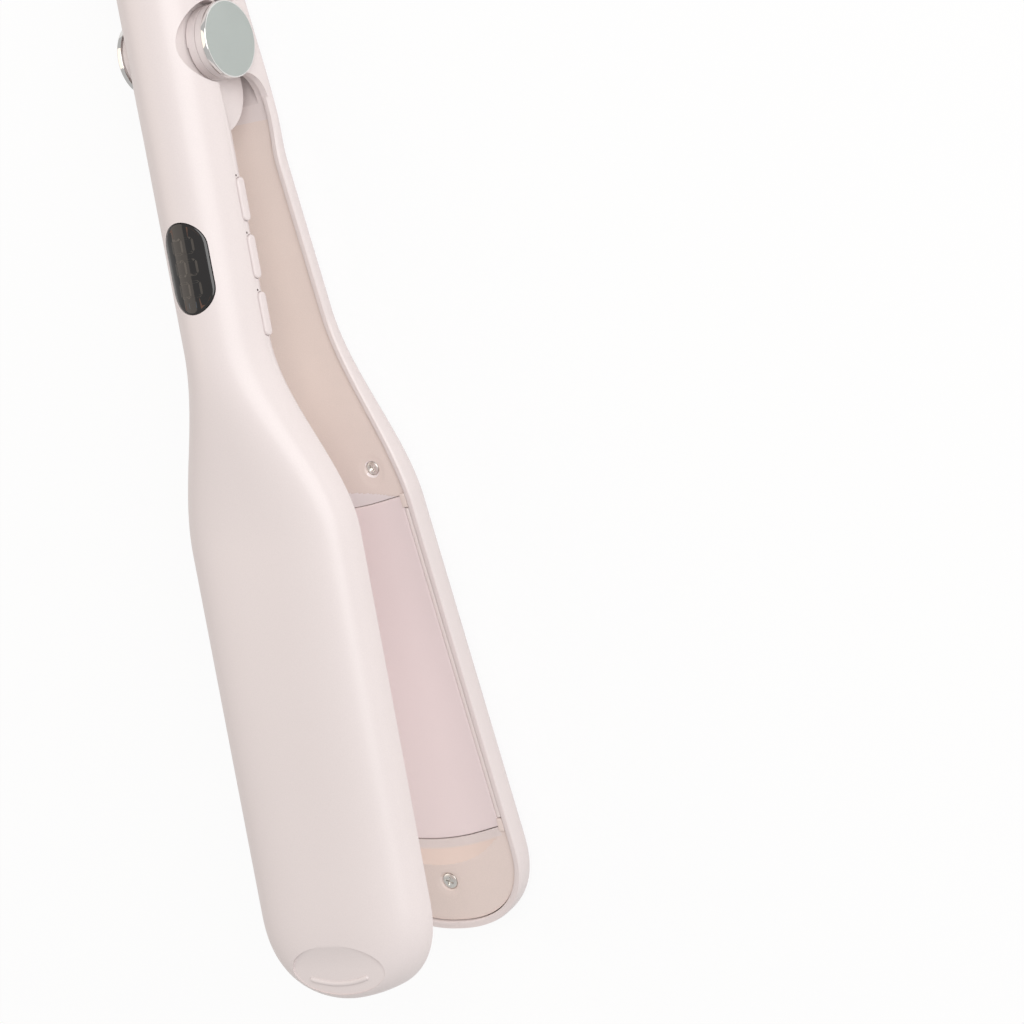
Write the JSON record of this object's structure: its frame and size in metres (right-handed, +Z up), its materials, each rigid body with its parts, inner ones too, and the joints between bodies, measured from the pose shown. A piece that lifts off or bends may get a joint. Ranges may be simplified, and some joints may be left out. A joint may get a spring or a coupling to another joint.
{
  "type": "hair straightener",
  "caption": "Hair straightener with two hinged slim arms, wide curved plates, a dark display window, side buttons and a swivel cord outlet.",
  "frame": {"origin": "middle of the footprint, on the surface that the lower arm lies on", "axes": "+X from the hinge to the tips, +Y across the arms to the side with the buttons, +Z up"},
  "size_m": [0.3116, 0.052, 0.0678],
  "materials": {
    "shell": "pearlescent pale pink, satin gloss",
    "button": "pearlescent pale pink, satin gloss",
    "cover": "satin tan pink",
    "plate": "smooth rose ceramic coat on aluminium",
    "carrier": "dark heat-proof plastic",
    "heater": "plain",
    "cushion": "red silicone",
    "sensor": "epoxy bead",
    "leads": "white sleeve",
    "steel": "bright zinc",
    "cap": "polished",
    "bush": "turned",
    "lens": "smoked, polished",
    "module": "display module",
    "board": "green circuit board",
    "swivel": "satin pale pink"
  },
  "bodies": {
    "lower_arm": {"lower_shell": "shell", "lower_inner_cover": "cover", "lower_tip_cover": "cover", "lower_plate": "plate", "lower_plate_carrier": "carrier", "lower_heater": "heater", "lower_plate_cushions": "cushion", "lower_sensor": "sensor", "lower_leads": "leads", "lower_cover_screws": "steel", "hinge_pin": "steel", "hinge_cap_right": "cap", "hinge_cap_left": "cap"},
    "upper_arm": {"upper_shell": "shell", "tail_shell": "shell", "upper_inner_cover": "cover", "upper_tip_cover": "cover", "upper_plate": "plate", "upper_plate_carrier": "carrier", "upper_heater": "heater", "upper_plate_cushions": "cushion", "upper_sensor": "sensor", "upper_leads": "leads", "upper_cover_screws": "steel", "hinge_bushes": "bush", "hinge_spring": "steel", "display_lens": "lens", "display_module": "module", "control_board": "board", "button_board": "board", "swivel_retainer": "steel"},
    "power_button": {"power_button": "button"},
    "plus_button": {"plus_button": "button"},
    "minus_button": {"minus_button": "button"},
    "cord_swivel": {"cord_swivel": "swivel"}
  },
  "joints": [
    {"name": "clamp", "type": "hinge", "parent": "lower_arm", "child": "upper_arm", "pos_m": [-0.09419, 0, 0.016], "axis": [0, 1, 0], "range_deg": [0, 10], "stiffness_Nm_per_rad": 4, "springref_deg": -6.88},
    {"name": "power_press", "type": "slide", "parent": "upper_arm", "child": "power_button", "axis": [0, 1, 0], "range_m": [-0.0005, 0], "stiffness_N_per_m": 400},
    {"name": "plus_press", "type": "slide", "parent": "upper_arm", "child": "plus_button", "axis": [0, 1, 0], "range_m": [-0.0005, 0], "stiffness_N_per_m": 400},
    {"name": "minus_press", "type": "slide", "parent": "upper_arm", "child": "minus_button", "axis": [0, 1, 0], "range_m": [-0.0005, 0], "stiffness_N_per_m": 400},
    {"name": "cord_turn", "type": "hinge", "parent": "upper_arm", "child": "cord_swivel", "pos_m": [-0.14707, 0, 0.01125], "axis": [-0.9848, 0, -0.1736], "continuous": true}
  ]
}
